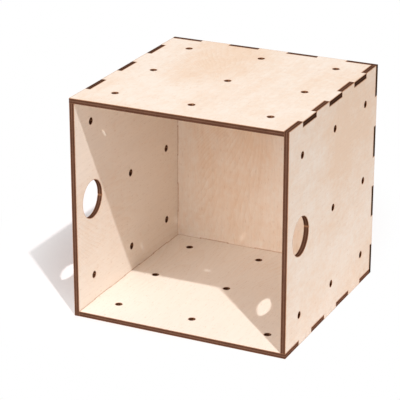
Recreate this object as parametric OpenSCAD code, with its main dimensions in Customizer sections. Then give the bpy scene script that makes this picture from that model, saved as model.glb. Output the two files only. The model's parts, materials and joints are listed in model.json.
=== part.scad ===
// Open-fronted carrying crate, cut from flat birch plywood.
// Five flat panels lock together with square fingers along every edge but the front ones.
// Millimetres, +Z up. The open front faces -Y. The origin is at the centre of the base,
// on the plane that the crate stands on.

/* [Outer size] */
// Width across the open front
outer_w = 350; // [345:1:420]
// Depth from the open front to the back face
outer_d = 350; // [330:1:420]
// Height from the base to the top face
outer_h = 350; // [345:1:420]

/* [Plywood] */
// Thickness of the plywood sheet
ply_t = 8; // [5:0.5:12]

/* [Finger joints] */
// Fingers and notches along each jointed edge, an odd number so that both ends match
finger_count = 7; // [5:2:11]
// Gap left by the cut on each face of a joint
fit_gap = 0.1; // [0.05:0.05:0.3]

/* [Bolt holes] */
// Diameter of the holes in the three by three grids
hole_d = 11; // [6:0.5:14]
// From the outer edges of a panel to the middle of its outer holes
hole_inset = 50; // [35:1:60]

/* [Hand holes] */
// Diameter of the round hand hole in each side
hand_d = 60; // [45:1:64]
// From the open front to the middle of a hand hole
hand_inset = 50; // [45:1:60]

/* [Hidden] */
$fn = 96;

// Each cutter runs this far past the faces that it cuts
past = 1;
// Colour of sanded birch
birch = [0.93, 0.83, 0.68];

// Which segments along an edge are cut away: 0 is the one at the corner
CORNERS_CUT = 0;
CORNERS_KEPT = 1;

// Where the rows of a hole grid lie along a length, measured from its middle
function rows(length) = [hole_inset - length / 2, 0, length / 2 - hole_inset];

// Notches for the next panel's fingers, along X from x = 0, cut inwards from the edge y = 0
module notches(length, first) {
    step = length / finger_count;
    for (i = [first : 2 : finger_count - 1]) {
        // A notch at a corner is open at its outer end, the others have a gap at both
        start = i == 0 ? -past : i * step - fit_gap;
        stop = i == finger_count - 1 ? length + past : (i + 1) * step + fit_gap;
        translate([start, -past])
            square([stop - start, ply_t + fit_gap + past]);
    }
}

// Outline of a wall panel, centred on the origin, its plain front edge towards -Y.
// Turned about Y, each wall meets the next with cut corners on its right edge (+X).
module wall_outline(span) {
    difference() {
        square([span, outer_d], center = true);
        translate([span / 2, -outer_d / 2])
            rotate(90)
                notches(outer_d, CORNERS_CUT);
        translate([-span / 2, outer_d / 2])
            rotate(-90)
                notches(outer_d, CORNERS_KEPT);
        translate([span / 2, outer_d / 2])
            rotate(180)
                notches(span, CORNERS_CUT);
    }
}

// The grid of bolt holes of a wall; a hand hole takes the place of the front middle one
module wall_holes(span, with_hand_hole) {
    for (x = rows(span), y = rows(outer_d))
        if (!with_hand_hole || x != 0 || y > rows(outer_d)[0])
            translate([x, y])
                circle(d = hole_d);
    if (with_hand_hole)
        translate([0, hand_inset - outer_d / 2])
            circle(d = hand_d);
}

// A wall lying flat with its outer face at z = 0 and the sheet below it
module wall(span, with_hand_hole = false) {
    translate([0, 0, -ply_t])
        linear_extrude(ply_t)
            difference() {
                wall_outline(span);
                wall_holes(span, with_hand_hole);
            }
}

// Turns a flat wall to its side of the crate; the angle is clockwise seen from the front
module place(turn, out) {
    translate([0, 0, outer_h / 2])
        rotate([0, turn, 0])
            translate([0, 0, out])
                children();
}

module top_panel() {
    color(birch)
        place(0, outer_h / 2)
            wall(outer_w);
}

module right_side_panel() {
    color(birch)
        place(90, outer_w / 2)
            wall(outer_h, with_hand_hole = true);
}

module bottom_panel() {
    color(birch)
        place(180, outer_h / 2)
            wall(outer_w);
}

module left_side_panel() {
    color(birch)
        place(270, outer_w / 2)
            wall(outer_h, with_hand_hole = true);
}

// The back closes the box, and its four corners are whole
module back_panel() {
    color(birch)
        translate([0, outer_d / 2, 0])
            rotate([90, 0, 0])
                linear_extrude(ply_t)
                    difference() {
                        translate([-outer_w / 2, 0])
                            square([outer_w, outer_h]);
                        translate([-outer_w / 2, 0])
                            notches(outer_w, CORNERS_KEPT);
                        translate([outer_w / 2, outer_h])
                            rotate(180)
                                notches(outer_w, CORNERS_KEPT);
                        translate([outer_w / 2, 0])
                            rotate(90)
                                notches(outer_h, CORNERS_KEPT);
                        translate([-outer_w / 2, outer_h])
                            rotate(-90)
                                notches(outer_h, CORNERS_KEPT);
                    }
}

top_panel();
bottom_panel();
left_side_panel();
right_side_panel();
back_panel();
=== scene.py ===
"""The looks of an open-fronted carrying crate of birch plywood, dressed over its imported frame.

Five sheets of laser-cut plywood are built from one Geometry Nodes rule: the finger-jointed
outline, the holes, and the burnt cut with its plies swept round each of them. Metres, +Z up,
the open front faces -Y and the origin is at the centre of the base.
"""
import functools
import json
import logging
import math
import operator
from dataclasses import dataclass, field
from enum import Enum, IntEnum
from typing import Any, Iterable, Sequence

import bpy
from mathutils import Euler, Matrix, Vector


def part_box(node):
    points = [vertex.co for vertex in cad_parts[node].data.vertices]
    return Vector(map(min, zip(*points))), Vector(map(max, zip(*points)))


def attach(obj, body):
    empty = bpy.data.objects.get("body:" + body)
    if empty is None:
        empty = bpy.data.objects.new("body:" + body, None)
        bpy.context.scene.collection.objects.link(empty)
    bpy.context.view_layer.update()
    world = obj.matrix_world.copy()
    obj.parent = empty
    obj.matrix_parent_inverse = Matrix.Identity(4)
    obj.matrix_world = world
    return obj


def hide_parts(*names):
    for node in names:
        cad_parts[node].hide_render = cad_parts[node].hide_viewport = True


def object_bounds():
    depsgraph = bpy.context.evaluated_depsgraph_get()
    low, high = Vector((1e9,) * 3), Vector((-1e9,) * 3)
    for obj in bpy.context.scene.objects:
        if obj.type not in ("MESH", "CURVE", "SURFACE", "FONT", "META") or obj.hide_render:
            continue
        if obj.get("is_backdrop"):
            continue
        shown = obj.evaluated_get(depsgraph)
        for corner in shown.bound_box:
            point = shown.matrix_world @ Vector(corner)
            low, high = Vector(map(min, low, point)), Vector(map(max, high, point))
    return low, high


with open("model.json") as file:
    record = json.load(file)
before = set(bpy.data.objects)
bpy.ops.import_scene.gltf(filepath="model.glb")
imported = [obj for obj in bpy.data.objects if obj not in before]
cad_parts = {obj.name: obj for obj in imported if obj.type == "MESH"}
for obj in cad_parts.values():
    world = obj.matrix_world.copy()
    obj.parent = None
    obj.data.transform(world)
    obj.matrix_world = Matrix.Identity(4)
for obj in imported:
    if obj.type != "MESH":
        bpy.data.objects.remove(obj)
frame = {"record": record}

log = logging.getLogger("carrying_crate")
MM = 0.001
Colour = tuple[float, float, float]
Triple = tuple[float, float, float]
Span = tuple[float, float]
WHITE: Colour = (1.0, 1.0, 1.0)


# ---------------------------------------------------------------- node graphs


class Wire:
    """An output socket that adds Math nodes when it stands in an expression."""

    def __init__(self, graph: "Graph", socket: bpy.types.NodeSocket) -> None:
        """Remembers the graph and the socket."""
        self.graph = graph
        self.socket = socket

    def other(self, name: str) -> "Wire":
        """Another output of the node that this wire comes from."""
        return Wire(self.graph, self.graph.find(self.socket.node.outputs, name))

    def math(self, operation: str, *values: Any) -> "Wire":
        """A Math node with the given operation on the values."""
        return self.graph.add("ShaderNodeMath", {"operation": operation}, dict(enumerate(values)))

    def __add__(self, value: Any) -> "Wire":
        """Sum."""
        return self.math("ADD", self, value)

    def __sub__(self, value: Any) -> "Wire":
        """Difference."""
        return self.math("SUBTRACT", self, value)

    def __rsub__(self, value: Any) -> "Wire":
        """Difference, with this wire on the right."""
        return self.math("SUBTRACT", value, self)

    def __mul__(self, value: Any) -> "Wire":
        """Product."""
        return self.math("MULTIPLY", self, value)

    def __truediv__(self, value: Any) -> "Wire":
        """Quotient."""
        return self.math("DIVIDE", self, value)

    def __rtruediv__(self, value: Any) -> "Wire":
        """Quotient, with this wire below the line."""
        return self.math("DIVIDE", value, self)

    def __mod__(self, value: Any) -> "Wire":
        """Remainder, never negative."""
        return self.math("FLOORED_MODULO", self, value)

    def __pow__(self, value: Any) -> "Wire":
        """Power."""
        return self.math("POWER", self, value)

    def __gt__(self, value: Any) -> "Wire":
        """1 where this wire is the greater, else 0."""
        return self.math("GREATER_THAN", self, value)

    def __lt__(self, value: Any) -> "Wire":
        """1 where this wire is the smaller, else 0."""
        return self.math("LESS_THAN", self, value)

    def __neg__(self) -> "Wire":
        """The wire with its sign turned."""
        return self * -1.0

    __radd__ = __add__
    __rmul__ = __mul__

    def equals(self, value: float) -> "Wire":
        """1 where this wire is within a half of a whole number, else 0."""
        return self.math("COMPARE", self, value, 0.5)

    def squared(self) -> "Wire":
        """The wire times itself."""
        return self * self

    def floor(self) -> "Wire":
        """The whole number at or below."""
        return self.math("FLOOR", self)

    def fraction(self) -> "Wire":
        """What is left above the whole number."""
        return self.math("FRACT", self)

    def abs(self) -> "Wire":
        """The size without its sign."""
        return self.math("ABSOLUTE", self)

    def at_least(self, value: Any) -> "Wire":
        """The greater of the two."""
        return self.math("MAXIMUM", self, value)

    def at_most(self, value: Any) -> "Wire":
        """The smaller of the two."""
        return self.math("MINIMUM", self, value)

    def ease(self, low: float, high: float) -> "Wire":
        """0 below low, 1 above high and a smooth rise between them."""
        return self.graph.add(
            "ShaderNodeMapRange",
            {"interpolation_type": "SMOOTHSTEP"},
            {"Value": self, "From Min": low, "From Max": high},
        )


class Graph:
    """A node tree, with one method that adds a node, sets it and links it."""

    def __init__(self, tree: bpy.types.NodeTree) -> None:
        """Starts on an empty tree."""
        self.tree = tree

    @staticmethod
    def find(sockets: Iterable[bpy.types.NodeSocket], key: int | str) -> bpy.types.NodeSocket:
        """The socket in use with this name, or with this number among those in use.

        Args:
            sockets: a node's inputs or outputs.
            key: a name or a number.

        Returns:
            The socket.
        """
        used = [s for s in sockets if s.enabled]
        if isinstance(key, int):
            return used[key]
        return next(s for s in used if s.name == key)

    def node(
        self, kind: str, settings: dict[str, Any], inputs: dict[int | str, Any]
    ) -> bpy.types.Node:
        """Adds a node, sets it and links it.

        Args:
            kind: the node's type.
            settings: its own properties; "stops" and "blend" are a colour ramp's, and "pair"
                is the output node of the zone that an input node opens.
            inputs: a value, a wire or a list of wires for each socket, by name or number.

        Returns:
            The node.
        """
        node = self.tree.nodes.new(kind)
        for name, value in settings.items():
            if name == "stops":
                self._set_stops(node.color_ramp, value)
            elif name == "blend":
                node.color_ramp.interpolation = value
            elif name == "pair":
                node.pair_with_output(value)
            else:
                setattr(node, name, value)
        self.feed(node, inputs)
        return node

    def feed(self, node: bpy.types.Node, inputs: dict[int | str, Any]) -> None:
        """Sets or links a node's sockets.

        Args:
            node: the node.
            inputs: a value, a wire or a list of wires for each socket, by name or number.
        """
        for key, value in inputs.items():
            socket = self.find(node.inputs, key)
            for part in value if isinstance(value, list) else [value]:
                if isinstance(part, Wire):
                    self.tree.links.new(part.socket, socket)
                else:
                    socket.default_value = part

    def add(self, kind: str, settings: dict[str, Any], inputs: dict[int | str, Any]) -> Wire:
        """Adds a node as above, and gives its first output in use."""
        node = self.node(kind, settings, inputs)
        return Wire(self, next(s for s in node.outputs if s.enabled))

    @staticmethod
    def _set_stops(ramp: bpy.types.ColorRamp, stops: Sequence[tuple[float, Colour]]) -> None:
        """Gives a colour ramp these stops and no others.

        Args:
            ramp: the colour ramp.
            stops: its (place, colour) pairs.
        """
        while len(ramp.elements) > 1:
            ramp.elements.remove(ramp.elements[-1])
        for number, (place, colour) in enumerate(stops):
            stop = ramp.elements[0] if number == 0 else ramp.elements.new(place)
            stop.position = place
            stop.color = (*colour, 1.0)

    def vector(self, x: Any = 0.0, y: Any = 0.0, z: Any = 0.0) -> Wire:
        """A vector from three values."""
        return self.add("ShaderNodeCombineXYZ", {}, {"X": x, "Y": y, "Z": z})

    def split(self, vector: Wire) -> tuple[Wire, Wire, Wire]:
        """The three parts of a vector."""
        x = self.add("ShaderNodeSeparateXYZ", {}, {"Vector": vector})
        return x, x.other("Y"), x.other("Z")

    def vector_math(self, operation: str, *values: Any) -> Wire:
        """A Vector Math node with the given operation on the values."""
        return self.add("ShaderNodeVectorMath", {"operation": operation}, dict(enumerate(values)))

    def mix(self, amount: Any, below: Any, above: Any) -> Wire:
        """Mixes two colours.

        Args:
            amount: how much of the second one, from 0 to 1.
            below: the first colour.
            above: the second colour.

        Returns:
            The mixed colour.
        """
        colours = [(*c, 1.0) if isinstance(c, tuple) else c for c in (below, above)]
        return self.add(
            "ShaderNodeMix",
            {"data_type": "RGBA", "blend_type": "MIX"},
            {"Factor": amount, "A": colours[0], "B": colours[1]},
        )

    def seen(self) -> Wire:
        """1 for what the camera sees, also in gloss and through glass, and 0 for light.

        Returns:
            The share, for a floor's or a world's shader.
        """
        path = self.add("ShaderNodeLightPath", {}, {})
        seen = path.at_least(path.other("Is Glossy Ray"))
        return seen.at_least(path.other("Is Transmission Ray"))


# ---------------------------------------------------------------- finishes


@dataclass(frozen=True)
class Lumps:
    """Soft noise: its lumps to a metre across, along and down, its fineness, and its shift down."""

    scale: Triple
    detail: float = 2.0
    roughness: float = 0.5
    shift: float = 0.0


class ShaderGraph(Graph):
    """A material's graph, with the textures and mixes that the finishes share."""

    BUMP_STRENGTH = 0.6

    def __init__(self, name: str) -> None:
        """Makes an empty material with one Principled shader.

        Args:
            name: the material's name.
        """
        self.material = bpy.data.materials.new(name)
        self.material.use_nodes = True
        super().__init__(self.material.node_tree)
        self.tree.nodes.clear()

    def attribute(self, name: str) -> Wire:
        """A vector stored on the mesh."""
        return self.add("ShaderNodeAttribute", {"attribute_name": name}, {}).other("Vector")

    def amount(self, name: str) -> Wire:
        """A number stored on the mesh."""
        return self.add("ShaderNodeAttribute", {"attribute_name": name}, {}).other("Fac")

    def noise(self, place: Wire, lumps: Lumps) -> Wire:
        """Soft noise from 0 to 1.

        Args:
            place: where it is read.
            lumps: its scale and its fineness.

        Returns:
            The noise.
        """
        place = self.vector_math("MULTIPLY_ADD", place, lumps.scale, (0.0, 0.0, lumps.shift))
        return self.add(
            "ShaderNodeTexNoise",
            {"noise_dimensions": "3D"},
            {"Vector": place, "Scale": 1.0, "Detail": lumps.detail, "Roughness": lumps.roughness},
        )

    def scaled(self, colour: Wire | Colour, shade: Wire) -> Wire:
        """A colour made lighter or darker by a number."""
        return self.vector_math("MULTIPLY", colour, self.vector(shade, shade, shade))

    def finish(
        self, colour: Wire, roughness: Wire, height: Wire, relief: float, gloss: float
    ) -> bpy.types.Material:
        """Ends the graph in a Principled shader.

        Args:
            colour: the base colour.
            roughness: the roughness.
            height: the bump's height from 0 to 1.
            relief: how deep that height is, in metres.
            gloss: the specular level, 0.5 on a common smooth surface.

        Returns:
            The material.
        """
        inputs = {"Strength": self.BUMP_STRENGTH, "Distance": relief, "Height": height}
        bump = self.add("ShaderNodeBump", {}, inputs)
        inputs = {"Base Color": colour, "Roughness": roughness, "Specular IOR Level": gloss}
        shader = self.add("ShaderNodeBsdfPrincipled", {}, {**inputs, "Normal": bump})
        self.node("ShaderNodeOutputMaterial", {}, {"Surface": shader})
        return self.material


@dataclass(frozen=True)
class HeartFlame:
    """The veneer's heart, where growth rings nest in a narrow flame along the grain."""

    reach: Span = (0.075, 0.120)
    fade: float = 0.5
    blur: float = 0.8
    fan_point: Span = (0.060, -0.150)
    fan_least: float = 0.04
    sway: Lumps = Lumps((14.0, 5.0, 1.0), shift=7.0)
    waver: Lumps = Lumps((120.0, 6.0, 1.0))
    groups: Lumps = Lumps((32.0, 13.0, 1.0), 1.0, shift=2.0)
    group_rise: Span = (0.36, 0.60)
    group_swing: float = 0.85
    group_least: float = 0.15
    rings_across: float = 17.0
    rings_along: float = 6.0
    rings_swayed: float = 3.5
    rings_wavered: float = 0.9
    sharpness: float = 2.2

    def build(self, g: ShaderGraph, layer: Wire) -> tuple[Wire, Wire]:
        """Adds the heart to a veneer's graph.

        Args:
            g: the graph.
            layer: tells one veneer from the next.

        Returns:
            How near the heart is, from 0 to 1, and the flame's dark lines, from 0 to 1.
        """
        x, y, _ = g.split(g.attribute("from_heart"))
        place = g.vector(x, y, layer)
        sway = g.noise(place, self.sway) - 0.5
        waver = g.noise(place, self.waver) - 0.5
        groups = g.noise(place, self.groups).ease(*self.group_rise)
        far = (x / self.reach[0]).squared() + (y / self.reach[1]).squared()
        near = (1.0 - far * self.fade + sway * self.blur).ease(0.0, 1.0)
        fan = (x - self.fan_point[0]) / (y - self.fan_point[1]).at_least(self.fan_least)
        rings = fan * self.rings_across + y * self.rings_along
        rings = rings + sway * self.rings_swayed + waver * self.rings_wavered
        flame = rings.fraction() ** self.sharpness * near
        flame = flame * (groups * self.group_swing + self.group_least)
        return near, flame * g.amount("ring_strength")


@dataclass(frozen=True)
class GrowthRings:
    """Growth rings as a peeling knife meets them: contour lines of a slow height field."""

    hills: Lumps = Lumps((8.0, 1.5, 1.0), 1.0)
    ripple: Lumps = Lumps((70.0, 7.0, 1.0))
    patches: Lumps = Lumps((6.0, 3.4, 1.0), 1.0, shift=3.0)
    patch_rise: Span = (0.40, 0.66)
    rings_to_a_hill: float = 22.0
    rings_to_a_ripple: float = 0.55
    sharpness: float = 2.4

    def build(self, g: ShaderGraph, veneer: Wire) -> Wire:
        """Adds the rings to a veneer's graph.

        Args:
            g: the graph.
            veneer: place across and along the grain in metres, and which veneer.

        Returns:
            The strength of the late wood, from 0 to 1.
        """
        height = g.noise(veneer, self.hills) * self.rings_to_a_hill
        ring = (height + g.noise(veneer, self.ripple) * self.rings_to_a_ripple).fraction()
        return ring**self.sharpness * g.noise(veneer, self.patches).ease(*self.patch_rise)


@dataclass(frozen=True)
class BirchVeneer:
    """Sanded rotary-cut birch, toasted in a thin line along the cuts.

    A name that ends in warmth, depth, shade, rough or height is how far the thing before it
    goes into the warm tone, a darker colour, the brightness, the roughness or the bump.
    """

    # Painted bounce light: the paler birch that the inner faces of some sheets turn towards
    painted_bounce_colour: Colour = (0.970, 0.910, 0.840)
    pale: Colour = (0.930, 0.806, 0.694)
    warm: Colour = (0.870, 0.658, 0.497)
    late_wood: Colour = (0.760, 0.520, 0.330)
    fleck: Colour = (0.560, 0.360, 0.220)
    toast: Colour = (0.520, 0.250, 0.115)
    gloss: float = 0.30
    relief: float = 0.06 * MM
    flame: HeartFlame = HeartFlame()
    rings: GrowthRings = GrowthRings()

    clouds: Lumps = Lumps((13.0, 7.0, 1.0), 3.0)
    bands: Lumps = Lumps((46.0, 3.0, 1.0))
    mottle: Lumps = Lumps((46.0, 30.0, 1.0), 3.0, 0.6, shift=5.0)
    dapple: Lumps = Lumps((130.0, 80.0, 1.0), 3.0, 0.7, shift=9.0)
    fibre: Lumps = Lumps((1300.0, 45.0, 1.0), 2.0, 0.6)
    streaks: Lumps = Lumps((330.0, 9.0, 1.0), 2.0, 0.6)
    pores: Lumps = Lumps((950.0, 110.0, 1.0), 0.0)
    smoke: Lumps = Lumps((260.0, 260.0, 1.0))
    cloud_rise: Span = (0.30, 0.70)
    band_rise: Span = (0.45, 0.80)
    pore_rise: Span = (0.70, 0.80)

    cloud_warmth: float = 0.45
    band_warmth: float = 0.15
    heart_warmth: float = 0.50
    dapple_warmth: float = 1.3
    ring_depth: float = 0.11
    flame_depth: float = 0.34
    pore_depth: float = 0.30
    toast_depth: float = 0.90
    fibre_shade: float = 0.09
    streak_shade: float = 0.09
    least_shade: float = 0.910
    fibre_rough: float = 0.14
    ring_rough: float = -0.05
    least_rough: float = 0.50
    fibre_height: float = 0.7
    pore_height: float = -0.6
    ring_height: float = 0.3
    smoke_swing: float = 0.9
    smoke_least: float = 0.5
    toast_falloff: float = 1.7
    bore_spared: float = 0.5

    def build(self) -> bpy.types.Material:
        """Makes the material.

        Returns:
            The material.
        """
        g = ShaderGraph("birch_veneer")
        veneer = g.attribute("veneer")
        heart, flame = self.flame.build(g, g.split(veneer)[2])
        rings = self.rings.build(g, veneer)
        fibre = g.noise(veneer, self.fibre)
        streaks = g.noise(veneer, self.streaks)
        pores = g.noise(veneer, self.pores).ease(*self.pore_rise)

        colour = g.mix(self._warmth(g, veneer, heart), self.pale, self.warm)
        # Painted bounce light: inner faces of some sheets turn paler, as if lit by light thrown
        # back inside the bay
        colour = g.mix(g.amount("paleness"), colour, self.painted_bounce_colour)
        late = rings * self.ring_depth + flame * self.flame_depth
        colour = g.mix(late, colour, self.late_wood)
        colour = g.mix(pores * self.pore_depth, colour, self.fleck)
        shade = fibre * self.fibre_shade + streaks * self.streak_shade + self.least_shade
        colour = g.scaled(colour, shade)
        colour = g.mix(self._scorch(g, veneer), colour, self.toast)

        roughness = fibre * self.fibre_rough + rings * self.ring_rough + self.least_rough
        height = fibre * self.fibre_height + pores * self.pore_height + rings * self.ring_height
        return g.finish(colour, roughness, height, self.relief, self.gloss)

    def _warmth(self, g: ShaderGraph, veneer: Wire, heart: Wire) -> Wire:
        """How warm the wood's tone is.

        Args:
            g: the graph.
            veneer: place across and along the grain in metres, and which veneer.
            heart: how near the heart is, from 0 to 1.

        Returns:
            From 0, pale, to 1, warm.
        """
        clouds = g.noise(veneer, self.clouds).ease(*self.cloud_rise)
        bands = g.noise(veneer, self.bands).ease(*self.band_rise)
        warmth = clouds * self.cloud_warmth + bands * self.band_warmth + heart * self.heart_warmth
        warmth = warmth + g.amount("warmth") + (g.noise(veneer, self.mottle) - 0.5)
        warmth = warmth + (g.noise(veneer, self.dapple) - 0.5) * self.dapple_warmth
        return warmth.at_least(0.0).at_most(1.0)

    def _scorch(self, g: ShaderGraph, veneer: Wire) -> Wire:
        """How far the laser has toasted the wood.

        Args:
            g: the graph.
            veneer: place across and along the grain in metres, and which veneer.

        Returns:
            From 0 to 1.
        """
        smoke = g.noise(veneer, self.smoke) * self.smoke_swing + self.smoke_least
        scorch = (g.amount("burn") * smoke).at_most(1.0) ** self.toast_falloff
        return scorch * (1.0 - g.amount("bore") * self.bore_spared) * self.toast_depth


@dataclass(frozen=True)
class BurntCut:
    """The laser's cut through the sheet: five plies, charred, with fine upright streaks.

    A depth is a share of the thickness from the outer face. A name that ends in shade, singe,
    rough or height is how far the thing before it goes into the plies' brightness, the singed
    arrises, the roughness or the bump.
    """

    thickness: float
    entry_ply: Colour = (0.170, 0.078, 0.046)
    cross_ply: Colour = (0.104, 0.045, 0.027)
    core_ply: Colour = (0.178, 0.087, 0.055)
    exit_ply: Colour = (0.150, 0.070, 0.044)
    glue: Colour = (0.045, 0.018, 0.010)
    entry_arris: Colour = (0.580, 0.275, 0.120)
    exit_arris: Colour = (0.500, 0.240, 0.110)
    restart: Colour = (0.420, 0.200, 0.100)
    bore_tint: Colour = (1.0, 0.90, 0.78)
    # Painted shade in the holes: how much of each colour it takes away, red least
    bore_shade_loss: Colour = (0.97, 1.17, 1.35)
    gloss: float = 0.0
    relief: float = 0.09 * MM
    face_share: float = 0.17
    inner_plies: int = 3

    wander: Lumps = Lumps((90.0, 90.0, 1.0))
    streaks: Lumps = Lumps((1900.0, 1900.0, 2.5), 2.0, 0.65)
    soot: Lumps = Lumps((46.0, 46.0, 1.5))
    ply_wander: float = 0.05
    glue_fade: Span = (0.006, 0.022)
    entry_rise: Span = (0.935, 0.985)
    exit_rise: Span = (0.945, 0.99)

    streak_shade: float = 0.80
    soot_shade: float = 0.50
    least_shade: float = 0.35
    streak_singe: float = 0.4
    soot_singe: float = 0.5
    least_singe: float = 0.35
    glue_strength: float = 0.70
    nick_strength: float = 0.8
    streak_rough: float = 0.25
    glue_rough: float = 0.1
    least_rough: float = 0.50
    streak_height: float = 0.6
    glue_height: float = -0.5

    def plies(self) -> list[float]:
        """The depths of the glue lines, as shares of the thickness.

        Returns:
            Four shares, from the outer face inwards.
        """
        inner = (1 - 2 * self.face_share) / self.inner_plies
        return [self.face_share + inner * number for number in range(self.inner_plies + 1)]

    def build(self) -> bpy.types.Material:
        """Makes the material.

        Returns:
            The material.
        """
        g = ShaderGraph("burnt_cut")
        veneer = g.attribute("veneer")
        depth = -g.split(g.attribute("sheet"))[2] / self.thickness
        place = depth + g.noise(veneer, self.wander) * self.ply_wander - self.ply_wander / 2

        lines = self.plies()
        colours = [self.entry_ply, self.cross_ply, self.core_ply, self.cross_ply, self.exit_ply]
        plies = g.add(
            "ShaderNodeValToRGB",
            {"blend": "CONSTANT", "stops": list(zip([0.0, *lines], colours))},
            {"Fac": place},
        )
        glue = self._glue(g, place, lines)
        across, along, _ = g.split(veneer)
        wall = g.vector(across, along, depth)
        streaks = g.noise(wall, self.streaks)
        soot = g.noise(wall, self.soot)

        shade = streaks * self.streak_shade + soot * self.soot_shade + self.least_shade
        colour = g.scaled(plies, shade * self._char(g))
        colour = self._bore(g, colour)
        colour = g.mix(glue * self.glue_strength, colour, self.glue)
        singed = soot * self.soot_singe + streaks * self.streak_singe + self.least_singe
        entry = (1.0 - depth).ease(*self.entry_rise) * singed
        colour = g.mix(entry.at_most(1.0), colour, self.entry_arris)
        leaving = depth.ease(*self.exit_rise) * singed
        colour = g.mix(leaving.at_most(1.0), colour, self.exit_arris)
        colour = g.mix(g.amount("nick") * self.nick_strength, colour, self.restart)

        roughness = streaks * self.streak_rough + glue * self.glue_rough + self.least_rough
        height = streaks * self.streak_height + glue * self.glue_height
        return g.finish(colour, roughness, height, self.relief, self.gloss)

    @staticmethod
    def _char(g: ShaderGraph) -> Wire:
        """How much of a cut's brightness its soot leaves, along and across the grain; a soot below
        0 lifts it as painted reflection of the floor.

        Args:
            g: the graph.

        Returns:
            The share, 1 without soot.
        """
        long_cut = g.amount("along_grain") * (1.0 - g.amount("bore"))
        end_soot = g.amount("end_soot")
        return 1.0 - end_soot - long_cut * (g.amount("soot") - end_soot)

    def _bore(self, g: ShaderGraph, colour: Wire) -> Wire:
        """Tints the walls of the holes, and darkens and reddens them by painted shade, set sheet by
        sheet.

        Args:
            g: the graph.
            colour: the colour of the cut.

        Returns:
            The colour.
        """
        # Painted shade: the walls of the holes darker and redder on sheets where they fall in shade
        lost = g.scaled(self.bore_shade_loss, -g.amount("bore_soot"))
        tint = g.vector_math("MULTIPLY_ADD", lost, self.bore_tint, self.bore_tint)
        return g.mix(g.amount("bore"), colour, g.vector_math("MULTIPLY", colour, tint))

    def _glue(self, g: ShaderGraph, place: Wire, lines: Sequence[float]) -> Wire:
        """The thin lines where two plies meet.

        Args:
            g: the graph.
            place: the depth in the sheet, as a share of the thickness.
            lines: the depths of the lines.

        Returns:
            1 on a line, 0 away from it.
        """
        near = [1.0 - (place - line).abs().ease(*self.glue_fade) for line in lines]
        return functools.reduce(operator.add, near)


@dataclass(frozen=True)
class StudioPaper:
    """The pale floor, white to the camera away from the shadow, and a bright pool as a light.

    The camera sees the seen colour within the shadow's reach of its middle, and white beyond it.
    That white is painted light: it also lightens the cast shadow towards its ends. The painted
    whitening is where it starts to turn white and where it is all white, as shares of that reach.
    """

    seen: Colour = (1.0, 0.945, 0.948)
    shadow_middle: Triple = (-0.143, 0.176, 0.0)
    shadow_reach: Triple = (0.337, 0.493, 1.0)
    painted_whitening: Span = (0.47, 1.0)
    pool: Colour = (0.925, 0.885, 0.870)
    beyond: Colour = (0.412, 0.393, 0.386)
    pool_reach: Span = (0.35, 1.30)

    def build(self) -> bpy.types.Material:
        """Makes the material.

        Returns:
            The material.
        """
        g = ShaderGraph("studio_paper")
        seen = g.seen()
        place = g.add("ShaderNodeTexCoord", {}, {}).other("Object")
        distance = g.vector_math("LENGTH", place)
        lit = g.mix(distance.ease(*self.pool_reach), self.pool, self.beyond)
        # Painted light: white grows away from the shadow's middle and lightens the cast shadow
        # towards its ends
        from_shadow = g.vector_math("SUBTRACT", place, self.shadow_middle)
        from_shadow = g.vector_math("DIVIDE", from_shadow, self.shadow_reach)
        painted_white_share = g.vector_math("LENGTH", from_shadow).ease(*self.painted_whitening)
        colour = g.mix(seen, lit, self.seen)
        paper = g.add("ShaderNodeBsdfDiffuse", {}, {"Color": colour})
        white = g.add("ShaderNodeEmission", {}, {"Color": (*WHITE, 1.0)})
        inputs = {0: seen * painted_white_share, 1: paper, 2: white}
        shader = g.add("ShaderNodeMixShader", {}, inputs)
        g.node("ShaderNodeOutputMaterial", {}, {"Surface": shader})
        return g.material


# ---------------------------------------------------------------- the cut sheet


class EdgeStyle(IntEnum):
    """How an edge of a sheet is cut; a segment that is cut away takes a neighbour's finger."""

    PLAIN = 0
    CORNERS_CUT = 1
    CORNERS_KEPT = 2


class Side(Enum):
    """The edges of a flat sheet, in the order in which its outline runs round."""

    FRONT = 0
    RIGHT = 1
    BACK = 2
    LEFT = 3


@dataclass(frozen=True)
class CutProfile:
    """Cross-section of a cut, swept round every outline and hole.

    Each point is (how far into the wood, height from the outer face, toasting), in metres.
    Toasted holds the points on a face, as (how far into the wood, toasting).
    """

    thickness: float
    arris: float = 0.22 * MM
    groove: float = 0.05 * MM
    groove_half: float = 0.09 * MM
    rounding: float = 0.3
    charred: float = 1.0
    toasted: tuple[Span, ...] = (
        (6.0 * MM, 0.0),
        (2.5 * MM, 0.05),
        (1.5 * MM, 0.20),
        (1.0 * MM, 0.64),
        (0.55 * MM, 1.0),
    )

    def points(self, glue_lines: Sequence[float]) -> list[Triple]:
        """The cross-section, from the outer face round the cut to the inner face.

        Args:
            glue_lines: depths of the glue lines, as shares of the thickness.

        Returns:
            The points.
        """
        outer = [(into, 0.0, burn) for into, burn in self.toasted]
        outer.append((self.arris, 0.0, self.charred))
        middle = self.arris * self.rounding
        outer.append((middle, -middle, self.charred))
        outer.append((0.0, -self.arris, self.charred))
        wall = []
        for line in glue_lines:
            deep = -line * self.thickness
            wall.append((0.0, deep + self.groove_half, self.charred))
            wall.append((self.groove, deep, self.charred))
            wall.append((0.0, deep - self.groove_half, self.charred))
        inner = [(into, -self.thickness - deep, burn) for into, deep, burn in reversed(outer)]
        return outer + wall + inner

    def build(self, glue_lines: Sequence[float]) -> bpy.types.Object:
        """Makes a line of vertices that holds the points, for the rule to read.

        Args:
            glue_lines: depths of the glue lines, as shares of the thickness.

        Returns:
            The object; it is removed once the sheets are made.
        """
        mesh = bpy.data.meshes.new("cut_profile")
        mesh.from_pydata(self.points(glue_lines), [], [])
        return bpy.data.objects.new("cut_profile", mesh)


@dataclass(frozen=True)
class HoleStyle:
    """How a round hole is cut: its vertices, its share of a full nick, and how clean it is."""

    vertices: int
    nick_share: float
    bore: float


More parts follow.
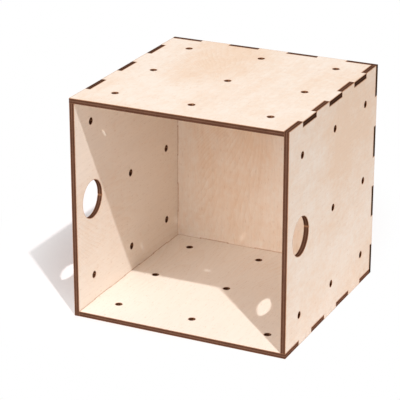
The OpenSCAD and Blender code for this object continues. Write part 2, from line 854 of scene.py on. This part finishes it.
class SheetRule:
    """The Geometry Nodes rule that cuts one sheet: outline, holes, burnt walls and faces."""

    SIZES: dict[str, tuple[str, Any]] = {
        "Span": ("NodeSocketFloat", 0.35),
        "Depth": ("NodeSocketFloat", 0.35),
        "Thickness": ("NodeSocketFloat", 0.008),
        "Fingers": ("NodeSocketInt", 7),
        "Fit gap": ("NodeSocketFloat", 0.0001),
        "Front edge": ("NodeSocketInt", 0),
        "Right edge": ("NodeSocketInt", 1),
        "Back edge": ("NodeSocketInt", 1),
        "Left edge": ("NodeSocketInt", 2),
        "Bolt holes": ("NodeSocketBool", True),
        "Bolt hole radius": ("NodeSocketFloat", 0.0055),
        "Hole inset": ("NodeSocketFloat", 0.05),
        "Hand hole": ("NodeSocketBool", False),
        "Hand hole radius": ("NodeSocketFloat", 0.03),
        "Nick depth": ("NodeSocketFloat", 0.0006),
        "Nick angle": ("NodeSocketFloat", 2.0),
        "Veneer offset": ("NodeSocketVector", (0.0, 0.0, 0.0)),
        "Heart place": ("NodeSocketVector", (0.0, 0.0, 0.0)),
        "Warmth": ("NodeSocketFloat", 0.0),
        "Paleness": ("NodeSocketFloat", 0.0),
        "Ring strength": ("NodeSocketFloat", 1.0),
        "Soot": ("NodeSocketFloat", 0.0),
        "End soot": ("NodeSocketFloat", 0.0),
        "Bore soot": ("NodeSocketFloat", 0.0),
        "Place": ("NodeSocketVector", (0.0, 0.0, 0.0)),
        "Turn": ("NodeSocketRotation", (0.0, 0.0, 0.0)),
        "Profile": ("NodeSocketObject", None),
        "Veneer": ("NodeSocketMaterial", None),
        "Cut": ("NodeSocketMaterial", None),
    }
    BOLT_HOLE = HoleStyle(48, 0.3, 1.0)
    HAND_HOLE = HoleStyle(144, 1.0, 0.3)
    GRID = 3
    NICK_VERTICES = 1.5
    WELD = 0.01 * MM
    OUTER_SKIN = 0.5 * MM
    LAYERS_TO_A_METRE = 400.0
    FLAT_FACING = 0.9

    def __init__(self) -> None:
        """Builds the tree."""
        self.tree = bpy.data.node_groups.new("cut_sheet", "GeometryNodeTree")
        self.g = Graph(self.tree)
        self._declare_sockets()
        source = self.g.add("NodeGroupInput", {}, {})
        self.size = {name: source.other(name) for name in self.SIZES}
        rims = self._join([self._outline(), self._holes()])
        rims = self._store(rims, "base", "FLOAT_VECTOR", self._position())
        walls = self._sweep(rims)
        faces = self._faces(rims)
        self._finish(self._join([walls, *faces]))

    def _declare_sockets(self) -> None:
        """Gives the tree its named inputs and its output."""
        sockets = self.tree.interface
        sockets.new_socket("Geometry", in_out="OUTPUT", socket_type="NodeSocketGeometry")
        sockets.new_socket("Geometry", in_out="INPUT", socket_type="NodeSocketGeometry")
        for name, (kind, default) in self.SIZES.items():
            socket = sockets.new_socket(name, in_out="INPUT", socket_type=kind)
            if default is not None:
                socket.default_value = default

    def identifiers(self) -> dict[str, str]:
        """Each input's identifier, by its name."""
        items = self.tree.interface.items_tree
        return {i.name: i.identifier for i in items if i.in_out == "INPUT"}

    # small helpers

    def _position(self) -> Wire:
        """Where each vertex is."""
        return self.g.add("GeometryNodeInputPosition", {}, {})

    def _index(self) -> Wire:
        """The number of each vertex."""
        return self.g.add("GeometryNodeInputIndex", {}, {})

    def _named(self, name: str, kind: str) -> Wire:
        """A named attribute."""
        return self.g.add("GeometryNodeInputNamedAttribute", {"data_type": kind}, {"Name": name})

    def _store(self, geometry: Wire, name: str, kind: str, value: Any, **more: Any) -> Wire:
        """Stores a named attribute.

        Args:
            geometry: what it is stored on.
            name: the attribute's name.
            kind: its data type.
            value: what is stored.
            more: domain, and selection.

        Returns:
            The geometry.
        """
        inputs = {"Geometry": geometry, "Name": name, "Value": value}
        if "selection" in more:
            inputs["Selection"] = more["selection"]
        settings = {"data_type": kind, "domain": more.get("domain", "POINT")}
        return self.g.add("GeometryNodeStoreNamedAttribute", settings, inputs)

    def _join(self, parts: list[Wire]) -> Wire:
        """Puts several geometries in one."""
        return self.g.add("GeometryNodeJoinGeometry", {}, {"Geometry": list(reversed(parts))})

    def _weld(self, geometry: Wire) -> Wire:
        """Merges vertices that lie on each other."""
        inputs = {"Geometry": geometry, "Distance": self.WELD}
        return self.g.add("GeometryNodeMergeByDistance", {}, inputs)

    def _pick(self, number: Wire, values: Sequence[Any]) -> Wire:
        """The value whose place in the list is the given number.

        Args:
            number: a whole number.
            values: the list.

        Returns:
            The value.
        """
        chosen = [number.equals(place) * value for place, value in enumerate(values)]
        return functools.reduce(operator.add, chosen)

    def _turned(self, x: Any, y: Any, quarter: Wire) -> Wire:
        """A flat vector turned by a number of quarter turns."""
        inputs = {"Vector": self.g.vector(x, y), "Angle": quarter * (math.pi / 2)}
        return self.g.add("ShaderNodeVectorRotate", {"rotation_type": "Z_AXIS"}, inputs)

    # the outline

    def _outline(self) -> Wire:
        """The sheet's outline: two vertices for each segment of each edge, then welded.

        Returns:
            A closed ring of edges, with the way into the wood stored as "inward".
        """
        s = self.size
        styles = [s["Front edge"], s["Right edge"], s["Back edge"], s["Left edge"]]
        corner_cut = [style.equals(EdgeStyle.CORNERS_CUT) for style in styles]
        per_side = s["Fingers"] * 2.0
        count = per_side * 4.0

        number = self._index()
        side = (number / per_side).floor()
        step = number - side * per_side
        segment = (step / 2.0).floor()
        end = step - segment * 2.0
        corner = step.equals(0) + step.equals(-1) + (step - per_side + 1.0).equals(0)

        style = self._pick(side, styles)
        jointed = style > 0.5
        odd = segment % 2.0
        notch = style.equals(EdgeStyle.CORNERS_CUT) * (1.0 - odd)
        notch = notch + style.equals(EdgeStyle.CORNERS_KEPT) * odd

        deep = s["Thickness"] + s["Fit gap"]
        length = self._pick(side, [s["Span"], s["Depth"]] * 2)
        width = self._pick(side, [s["Depth"], s["Span"]] * 2)
        slack = s["Fit gap"] * (end * 2.0 - 1.0) * (notch * 2.0 - 1.0) * jointed * (1.0 - corner)
        along = (segment + end) * length / s["Fingers"] + slack
        before = self._pick(side, corner_cut[-1:] + corner_cut[:-1]) * deep
        after = self._pick(side, corner_cut[1:] + corner_cut[:1]) * deep
        along = along.at_least(before).at_most(length - after)

        sideways = jointed * (1.0 - notch * 2.0) * (1.0 - corner) + corner
        sideways = sideways * (1.0 - end * 2.0)
        line = self.g.add(
            "GeometryNodeMeshLine", {"mode": "OFFSET", "count_mode": "TOTAL"}, {"Count": count}
        )
        line = self._store(line, "inward", "FLOAT_VECTOR", self._turned(sideways, 1.0, side))
        place = self._turned(along - length / 2.0, notch * deep - width / 2.0, side)
        inputs = {"Geometry": line, "Position": place}
        return self._weld(self.g.add("GeometryNodeSetPosition", {}, inputs))

    # the holes

    def _ring(self, radius: Wire, style: HoleStyle) -> Wire:
        """A round hole, with the small nick where the laser starts and stops.

        Args:
            radius: the hole's radius.
            style: how it is cut.

        Returns:
            A closed ring of edges.
        """
        g = self.g
        turn = 2.0 * math.pi / style.vertices
        # A hole runs the other way round than the outline, so that its wall faces the air
        angle = 2.0 * math.pi - self._index() * turn
        away = (angle - self.size["Nick angle"]).abs() / (turn * self.NICK_VERTICES)
        nick = (1.0 - away).at_least(0.0)
        unit = g.vector(angle.math("COSINE", angle), angle.math("SINE", angle))
        reach = radius + nick * (self.size["Nick depth"] * style.nick_share)
        ring = g.add("GeometryNodeMeshCircle", {"fill_type": "NONE"}, {"Vertices": style.vertices})
        ring = self._store(ring, "inward", "FLOAT_VECTOR", unit)
        ring = self._store(ring, "nick", "FLOAT", nick)
        ring = self._store(ring, "bore", "FLOAT", style.bore)
        place = g.vector_math("MULTIPLY", unit, g.vector(reach, reach, reach))
        return g.add("GeometryNodeSetPosition", {}, {"Geometry": ring, "Position": place})

    def _holes(self) -> Wire:
        """The bolt holes on their grid, and the hand hole in place of the front middle one.

        Returns:
            Closed rings of edges.
        """
        g, s = self.g, self.size
        across = s["Span"] - s["Hole inset"] * 2.0
        down = s["Depth"] - s["Hole inset"] * 2.0
        rows = {"Vertices X": self.GRID, "Vertices Y": self.GRID}
        grid = g.add("GeometryNodeMeshGrid", {}, {"Size X": across, "Size Y": down, **rows})
        x, y, _ = g.split(self._position())
        front_middle = (x.abs() < MM) * (y < -MM) * s["Hand hole"]
        grid = g.add(
            "GeometryNodeDeleteGeometry",
            {"domain": "POINT"},
            {"Geometry": grid, "Selection": front_middle},
        )
        ring = self._ring(s["Bolt hole radius"], self.BOLT_HOLE)
        bolts = g.add("GeometryNodeInstanceOnPoints", {}, {"Points": grid, "Instance": ring})
        bolts = g.add("GeometryNodeRealizeInstances", {}, {"Geometry": bolts})
        bolts = self._switch(s["Bolt holes"], bolts)

        hand = self._ring(s["Hand hole radius"], self.HAND_HOLE)
        middle = g.vector(0.0, -down / 2.0, 0.0)
        hand = g.add("GeometryNodeTransform", {}, {"Geometry": hand, "Translation": middle})
        return self._join([bolts, self._switch(s["Hand hole"], hand)])

    def _switch(self, wanted: Wire, geometry: Wire) -> Wire:
        """The geometry where it is wanted, else nothing."""
        settings = {"input_type": "GEOMETRY"}
        return self.g.add("GeometryNodeSwitch", settings, {"Switch": wanted, "True": geometry})

    # walls and faces

    def _profile(self) -> Wire:
        """The cross-section's vertices."""
        profile = self.g.add("GeometryNodeObjectInfo", {}, {"Object": self.size["Profile"]})
        return profile.other("Geometry")

    def _profile_point(self, number: Any) -> tuple[Wire, Wire, Wire]:
        """One point of the cross-section.

        Args:
            number: which point.

        Returns:
            How far into the wood, the height from the outer face, and the toasting.
        """
        inputs = {"Geometry": self._profile(), "Value": self._position(), "Index": number}
        settings = {"data_type": "FLOAT_VECTOR", "domain": "POINT"}
        return self.g.split(self.g.add("GeometryNodeSampleIndex", settings, inputs))

    def _ring_place(self, number: Any) -> tuple[Wire, Wire]:
        """Where a rim's vertices go for one point of the cross-section.

        Args:
            number: which point.

        Returns:
            The place, and the toasting.
        """
        into, height, burn = self._profile_point(number)
        shift = self.g.vector_math(
            "MULTIPLY_ADD",
            self._named("inward", "FLOAT_VECTOR"),
            self.g.vector(into, into, into),
            self.g.vector(0.0, 0.0, height),
        )
        return self.g.vector_math("ADD", self._named("base", "FLOAT_VECTOR"), shift), burn

    def _sweep(self, rims: Wire) -> Wire:
        """Extrudes the rims along the cross-section, one point at a time.

        Args:
            rims: rings of edges with "base" and "inward".

        Returns:
            The walls of every cut, with a strip of each face round them.
        """
        g = self.g
        place, burn = self._ring_place(0)
        start = g.add("GeometryNodeSetPosition", {}, {"Geometry": rims, "Position": place})
        start = self._store(start, "burn", "FLOAT", burn)
        start = self._store(start, "rim", "BOOLEAN", True, domain="EDGE")

        points = g.add("GeometryNodeAttributeDomainSize", {}, {"Geometry": self._profile()})
        last = g.node("GeometryNodeRepeatOutput", {}, {})
        inputs = {"Iterations": points - 1.0, "Geometry": start}
        turn = g.add("GeometryNodeRepeatInput", {"pair": last}, inputs)

        rim = self._named("rim", "BOOLEAN")
        inputs = {"Mesh": turn.other("Geometry"), "Selection": rim, "Offset Scale": 0.0}
        grown = g.add("GeometryNodeExtrudeMesh", {"mode": "EDGES"}, inputs)
        top = grown.other("Top")
        place, burn = self._ring_place(turn + 1.0)
        inputs = {"Geometry": grown, "Selection": top, "Position": place}
        moved = g.add("GeometryNodeSetPosition", {}, inputs)
        moved = self._store(moved, "burn", "FLOAT", burn, selection=top)
        moved = self._store(moved, "rim", "BOOLEAN", top, domain="EDGE")
        g.feed(last, {"Geometry": moved})
        return Wire(g, g.find(last.outputs, "Geometry"))

    def _faces(self, rims: Wire) -> list[Wire]:
        """The flat middle of the outer and the inner face.

        Args:
            rims: rings of edges with "base" and "inward".

        Returns:
            The two faces.
        """
        g = self.g
        place, _ = self._ring_place(0)
        rings = g.add("GeometryNodeSetPosition", {}, {"Geometry": rims, "Position": place})
        rings = g.add("GeometryNodeMeshToCurve", {}, {"Mesh": rings})
        outer = g.add("GeometryNodeFillCurve", {"mode": "TRIANGLES"}, {"Curve": rings})
        down = g.vector(0.0, 0.0, -self.size["Thickness"])
        inner = g.add("GeometryNodeTransform", {}, {"Geometry": outer, "Translation": down})
        return [outer, g.add("GeometryNodeFlipFaces", {}, {"Mesh": inner})]

    def _described(self, sheet: Wire) -> Wire:
        """Stores on a sheet what its finishes read.

        Args:
            sheet: the welded sheet, still flat.

        Returns:
            The sheet.
        """
        g, s = self.g, self.size
        flat = self._position()
        sheet = self._store(sheet, "sheet", "FLOAT_VECTOR", flat)
        # The inner face is another veneer, so the grain's third coordinate runs fast
        x, y, z = g.split(flat)
        grain = g.vector(x, y, z * self.LAYERS_TO_A_METRE)
        grain = g.vector_math("ADD", grain, s["Veneer offset"])
        sheet = self._store(sheet, "veneer", "FLOAT_VECTOR", grain)
        inner = z < -self.OUTER_SKIN
        side = g.vector(*[1.0 - inner * 2.0] * 3)
        heart = g.vector_math("MULTIPLY", s["Heart place"], side)
        heart = g.vector_math("SUBTRACT", flat, heart)
        sheet = self._store(sheet, "from_heart", "FLOAT_VECTOR", heart)
        # Painted bounce light, on the inner face only: paler and less warm
        paleness = s["Paleness"] * inner
        amounts = {
            "warmth": s["Warmth"] - paleness,
            "paleness": paleness,
            "ring_strength": s["Ring strength"],
            "soot": s["Soot"],
            "end_soot": s["End soot"],
            "bore_soot": s["Bore soot"],
        }
        for name, amount in amounts.items():
            sheet = self._store(sheet, name, "FLOAT", amount)
        return sheet

    def _finish(self, sheet: Wire) -> None:
        """Welds the sheet, gives it its finishes and places it.

        Args:
            sheet: the walls and the faces.
        """
        g, s = self.g, self.size
        sheet = self._described(self._weld(sheet))
        facing_x, _, facing = g.split(g.add("GeometryNodeInputNormal", {}, {}))
        sheet = self._store(sheet, "along_grain", "FLOAT", facing_x.abs(), domain="FACE")
        cut_face = facing.abs() < self.FLAT_FACING
        sheet = self._store(sheet, "cut_face", "BOOLEAN", cut_face, domain="FACE")
        inputs = {"Geometry": sheet, "Translation": s["Place"], "Rotation": s["Turn"]}
        sheet = g.add("GeometryNodeTransform", {}, inputs)
        sheet = g.add("GeometryNodeRealizeInstances", {}, {"Geometry": sheet})
        sheet = g.add("GeometryNodeSetMaterial", {}, {"Geometry": sheet, "Material": s["Veneer"]})
        cut_face = self._named("cut_face", "BOOLEAN")
        inputs = {"Geometry": sheet, "Selection": cut_face, "Material": s["Cut"]}
        sheet = g.add("GeometryNodeSetMaterial", {}, inputs)
        g.node("NodeGroupOutput", {}, {"Geometry": sheet})


# ---------------------------------------------------------------- the crate


@dataclass(frozen=True)
class CrateSizes:
    """Sizes of the crate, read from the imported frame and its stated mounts."""

    width: float
    depth: float
    height: float
    thickness: float
    bolt_hole_radius: float
    hole_inset: float
    fingers: int = 7
    fit_gap: float = 0.1 * MM
    hand_hole_radius: float = 30.0 * MM
    nick_depth: float = 0.9 * MM
    nick_angle: float = 1.71

    @classmethod
    def from_frame(cls) -> "CrateSizes":
        """Reads the sizes.

        Returns:
            The sizes, in metres.
        """
        low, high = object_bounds()
        top_low, top_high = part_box("top_panel")
        grid = next(m for m in frame["record"]["mounts"] if m["name"] == "top_corner_bolts")
        spacing = grid["dims"]["spacing_x_mm"] * MM
        return cls(
            width=high[0] - low[0],
            depth=high[1] - low[1],
            height=high[2] - low[2],
            thickness=top_high[2] - top_low[2],
            bolt_hole_radius=grid["dims"]["hole_r_mm"] * MM,
            hole_inset=(high[0] - low[0] - spacing) / 2,
        )


@dataclass(frozen=True)
class SheetLook:
    """What tells one sheet of birch from the next: its piece of veneer and its cuts.

    The heart is where the flame is strongest, from the middle of the sheet. Warmth adds to the
    veneer's warm tone, ring_strength scales the flame's dark lines, and soot makes the cuts along
    the grain darker as char, or lighter where it is below 0, as painted reflection of the floor.
    The cuts across the grain are darkened by end_soot, and painted shade darkens the walls of the
    holes. Painted bounce light brings the inner face nearer a paler birch, as if light were
    thrown back inside the bay.
    """

    veneer_offset: Triple
    heart: Span
    warmth: float = 0.0
    ring_strength: float = 1.0
    soot: float = 0.0
    bore_soot: float = 0.0
    paleness: float = 0.0
    end_soot: float = 0.0


@dataclass
class Panel:
    """One plywood panel of the crate."""

    node: str
    span: float
    depth: float
    place: Vector
    turn: Euler
    edges: dict[Side, EdgeStyle]
    look: SheetLook
    bolt_holes: bool = True
    hand_hole: bool = False
    crease_degrees: float = 22.0

    def build(self, rule: SheetRule, sizes: CrateSizes, extras: dict[str, Any]) -> bpy.types.Object:
        """Cuts the panel with the rule, and makes it a plain mesh in its place.

        Args:
            rule: the Geometry Nodes rule.
            sizes: the crate's sizes.
            extras: the cross-section and the two finishes.

        Returns:
            The panel.
        """
        name = f"{self.node}_sheet"
        panel = bpy.data.objects.new(name, bpy.data.meshes.new(name))
        bpy.context.scene.collection.objects.link(panel)
        cutter = panel.modifiers.new("cut_sheet", "NODES")
        cutter.node_group = rule.tree
        identifiers = rule.identifiers()
        for socket, value in {**self._values(sizes), **extras}.items():
            cutter[identifiers[socket]] = value
        self._make_plain(panel, cutter)
        return panel

    def _values(self, sizes: CrateSizes) -> dict[str, Any]:
        """The rule's inputs for this panel.

        Args:
            sizes: the crate's sizes.

        Returns:
            A value for each named input.
        """
        return {
            "Span": self.span,
            "Depth": self.depth,
            "Thickness": sizes.thickness,
            "Fingers": sizes.fingers,
            "Fit gap": sizes.fit_gap,
            "Front edge": int(self.edges[Side.FRONT]),
            "Right edge": int(self.edges[Side.RIGHT]),
            "Back edge": int(self.edges[Side.BACK]),
            "Left edge": int(self.edges[Side.LEFT]),
            "Bolt holes": self.bolt_holes,
            "Bolt hole radius": sizes.bolt_hole_radius,
            "Hole inset": sizes.hole_inset,
            "Hand hole": self.hand_hole,
            "Hand hole radius": sizes.hand_hole_radius,
            "Nick depth": sizes.nick_depth,
            "Nick angle": sizes.nick_angle,
            "Veneer offset": self.look.veneer_offset,
            "Heart place": (*self.look.heart, 0.0),
            "Warmth": self.look.warmth,
            "Paleness": self.look.paleness,
            "Ring strength": self.look.ring_strength,
            "Soot": self.look.soot,
            "End soot": self.look.end_soot,
            "Bore soot": self.look.bore_soot,
            "Place": tuple(self.place),
            "Turn": tuple(self.turn),
        }

    def _make_plain(self, panel: bpy.types.Object, cutter: bpy.types.Modifier) -> None:
        """Turns the rule's result into a plain mesh with crisp arrises.

        Args:
            panel: the object that carries the rule.
            cutter: the modifier to take away.
        """
        graph = bpy.context.evaluated_depsgraph_get()
        result = bpy.data.meshes.new_from_object(
            panel.evaluated_get(graph), preserve_all_data_layers=True, depsgraph=graph
        )
        panel.modifiers.remove(cutter)
        empty = panel.data
        panel.data = result
        bpy.data.meshes.remove(empty)
        result.name = panel.name
        for spent in ("base", "inward", "rim", "cut_face"):
            result.attributes.remove(result.attributes[spent])
        result.shade_smooth()
        result.set_sharp_from_angle(angle=math.radians(self.crease_degrees))


def sheet_looks() -> dict[str, SheetLook]:
    """The looks of the five sheets.

    Returns:
        A look for each node.
    """
    return {
        "top_panel": SheetLook(
            (1.78, -0.84, 0.0), (-0.05, 0.10), warmth=0.05, soot=0.50, bore_soot=-0.03
        ),
        "right_side_panel": SheetLook(
            (-4.19, -4.39, 11.0),
            (-0.11, 0.09),
            warmth=0.15,
            ring_strength=0.2,
            soot=0.05,
            # Painted shade in the right sheet's holes
            bore_soot=0.60,
        ),
        "bottom_panel": SheetLook(
            (3.40, 5.00, 22.0),
            (0.06, -0.08),
            warmth=0.05,
            ring_strength=0.8,
            # Painted reflection: below 0, the bottom sheet's cuts along the grain are lighter, as
            # if they caught the floor
            soot=-0.30,
            bore_soot=0.20,
            # Painted bounce light on the inner face
            paleness=0.55,
        ),
        "left_side_panel": SheetLook(
            (5.10, 7.30, 33.0),
            (0.04, 0.12),
            warmth=0.05,
            ring_strength=0.6,
            soot=0.30,
            bore_soot=0.20,
            # Painted bounce light on the inner face
            paleness=0.45,
        ),
        "back_panel": SheetLook((9.10, 5.20, 61.0), (0.07, -0.03), soot=0.66, end_soot=0.24),
    }


@dataclass
class CarryingCrate:
    """The crate: four walls that turn round the open front, and a back."""

    sizes: CrateSizes = field(default_factory=CrateSizes.from_frame)
    looks: dict[str, SheetLook] = field(default_factory=sheet_looks)
    slot: str = "birch_plywood"

    def panels(self) -> list[Panel]:
        """The five panels.

        Returns:
            The panels, with their places.
        """
        s = self.sizes
        walls = {
            "top_panel": (0, s.width, s.height, False),
            "right_side_panel": (90, s.height, s.width, True),
            "bottom_panel": (180, s.width, s.height, False),
            "left_side_panel": (270, s.height, s.width, True),
        }
        edges = {
            Side.FRONT: EdgeStyle.PLAIN,
            Side.RIGHT: EdgeStyle.CORNERS_CUT,
            Side.BACK: EdgeStyle.CORNERS_CUT,
            Side.LEFT: EdgeStyle.CORNERS_KEPT,
        }
        middle = Vector((0.0, 0.0, s.height / 2))
        made = []
        for node, (degrees, span, across, hand) in walls.items():
            turn = Euler((0.0, math.radians(degrees), 0.0))
            outward = Vector((0.0, 0.0, across / 2))
            outward.rotate(turn)
            look = self.looks[node]
            place = middle + outward
            made.append(Panel(node, span, s.depth, place, turn, edges, look, hand_hole=hand))
        made.append(
            Panel(
                "back_panel",
                s.width,
                s.height,
                middle + Vector((0.0, s.depth / 2, 0.0)),
                Euler((math.radians(-90), 0.0, 0.0)),
                {side: EdgeStyle.CORNERS_KEPT for side in Side},
                self.looks["back_panel"],
                bolt_holes=False,
            )
        )
        return made

    def build(self) -> list[bpy.types.Object]:
        """Makes every panel and hangs it on the frame.

        Returns:
            The panels' objects.
        """
        cut = BurntCut(self.sizes.thickness)
        profile = CutProfile(self.sizes.thickness).build(cut.plies())
        extras = {"Profile": profile, "Veneer": BirchVeneer().build(), "Cut": cut.build()}
        rule = SheetRule()
        made = []
        for panel in self.panels():
            piece = panel.build(rule, self.sizes, extras)
            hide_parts(panel.node)
            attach(piece, "root")
            log.info("%s: %d faces", piece.name, len(piece.data.polygons))
            made.append(piece)
        bpy.data.objects.remove(profile)
        bpy.data.node_groups.remove(rule.tree)
        return made


# ---------------------------------------------------------------- the studio


@dataclass
class Studio:
    """Floor, light and camera."""

    floor_half: float = 5.0
    world_fill: Colour = (0.412, 0.398, 0.393)
    key_strength: float = 1.95
    key_travel: Triple = (-0.431, 0.416, -0.801)
    key_softness: float = 1.1
    front_power: float = 52.0
    front_size: Span = (2.4, 1.6)
    front_place: Triple = (-0.5, -3.1, 1.8)
    front_aim: Triple = (0.0, 0.0, 0.17)
    camera_place: Triple = (1.1160, -2.4277, 1.2097)
    camera_azimuth: float = 25.58
    camera_elevation: float = 21.50
    focal_pixels: float = 1863.3
    picture_pixels: float = 400.0

    def build(self) -> None:
        """Sets the floor, the lights, the world and the camera."""
        self._floor()
        self._key()
        self._front()
        self._world()
        self._camera()
        bpy.context.scene.view_settings.view_transform = "Standard"

    def _link(self, name: str, data: bpy.types.ID) -> bpy.types.Object:
        """Puts new object data in the scene.

        Args:
            name: the object's name.
            data: its mesh, light or camera.

        Returns:
            The object.
        """
        made = bpy.data.objects.new(name, data)
        bpy.context.scene.collection.objects.link(made)
        return made

    def _floor(self) -> None:
        """A plain pale floor, declared as stage."""
        half = self.floor_half
        mesh = bpy.data.meshes.new("studio_floor")
        corners = [(-half, -half, 0), (half, -half, 0), (half, half, 0), (-half, half, 0)]
        mesh.from_pydata(corners, [], [(0, 1, 2, 3)])
        mesh.materials.append(StudioPaper().build())
        self._link("studio_floor", mesh)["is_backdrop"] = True
        log.info("studio_floor: stage")

    def _key(self) -> None:
        """The hard key light from the front right, above."""
        data = bpy.data.lights.new("key", "SUN")
        data.energy = self.key_strength
        data.angle = math.radians(self.key_softness)
        key = self._link("key", data)
        key.rotation_euler = Vector(self.key_travel).to_track_quat("-Z", "Y").to_euler()

    def _front(self) -> None:
        """The large soft light in front, which fills the open bay."""
        data = bpy.data.lights.new("front", "AREA")
        data.energy = self.front_power
        data.shape = "RECTANGLE"
        data.size, data.size_y = self.front_size
        front = self._link("front", data)
        front.location = self.front_place
        travel = Vector(self.front_aim) - Vector(self.front_place)
        front.rotation_euler = travel.to_track_quat("-Z", "Y").to_euler()

    def _world(self) -> None:
        """White to the camera and to gloss, dimmer as a light."""
        world = bpy.data.worlds.new("studio")
        world.use_nodes = True
        world.node_tree.nodes.clear()
        g = Graph(world.node_tree)
        colour = g.mix(g.seen(), self.world_fill, WHITE)
        light = g.add("ShaderNodeBackground", {}, {"Color": colour})
        g.node("ShaderNodeOutputWorld", {}, {"Surface": light})
        bpy.context.scene.world = world

    def _camera(self) -> None:
        """The camera at the photograph's viewing angle, from the fit to the crate's corners."""
        data = bpy.data.cameras.new("camera")
        data.lens = data.sensor_width * self.focal_pixels / self.picture_pixels
        camera = self._link("camera", data)
        camera.location = self.camera_place
        tilt = math.radians(90.0 - self.camera_elevation)
        camera.rotation_euler = (tilt, 0.0, math.radians(self.camera_azimuth))
        bpy.context.scene.camera = camera


def main() -> None:
    """Builds the crate and the studio, and logs each sheet's faces."""
    logging.basicConfig(level=logging.INFO, format="%(name)s %(message)s")
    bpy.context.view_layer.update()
    CarryingCrate().build()
    Studio().build()


if __name__ == "__main__":
    main()
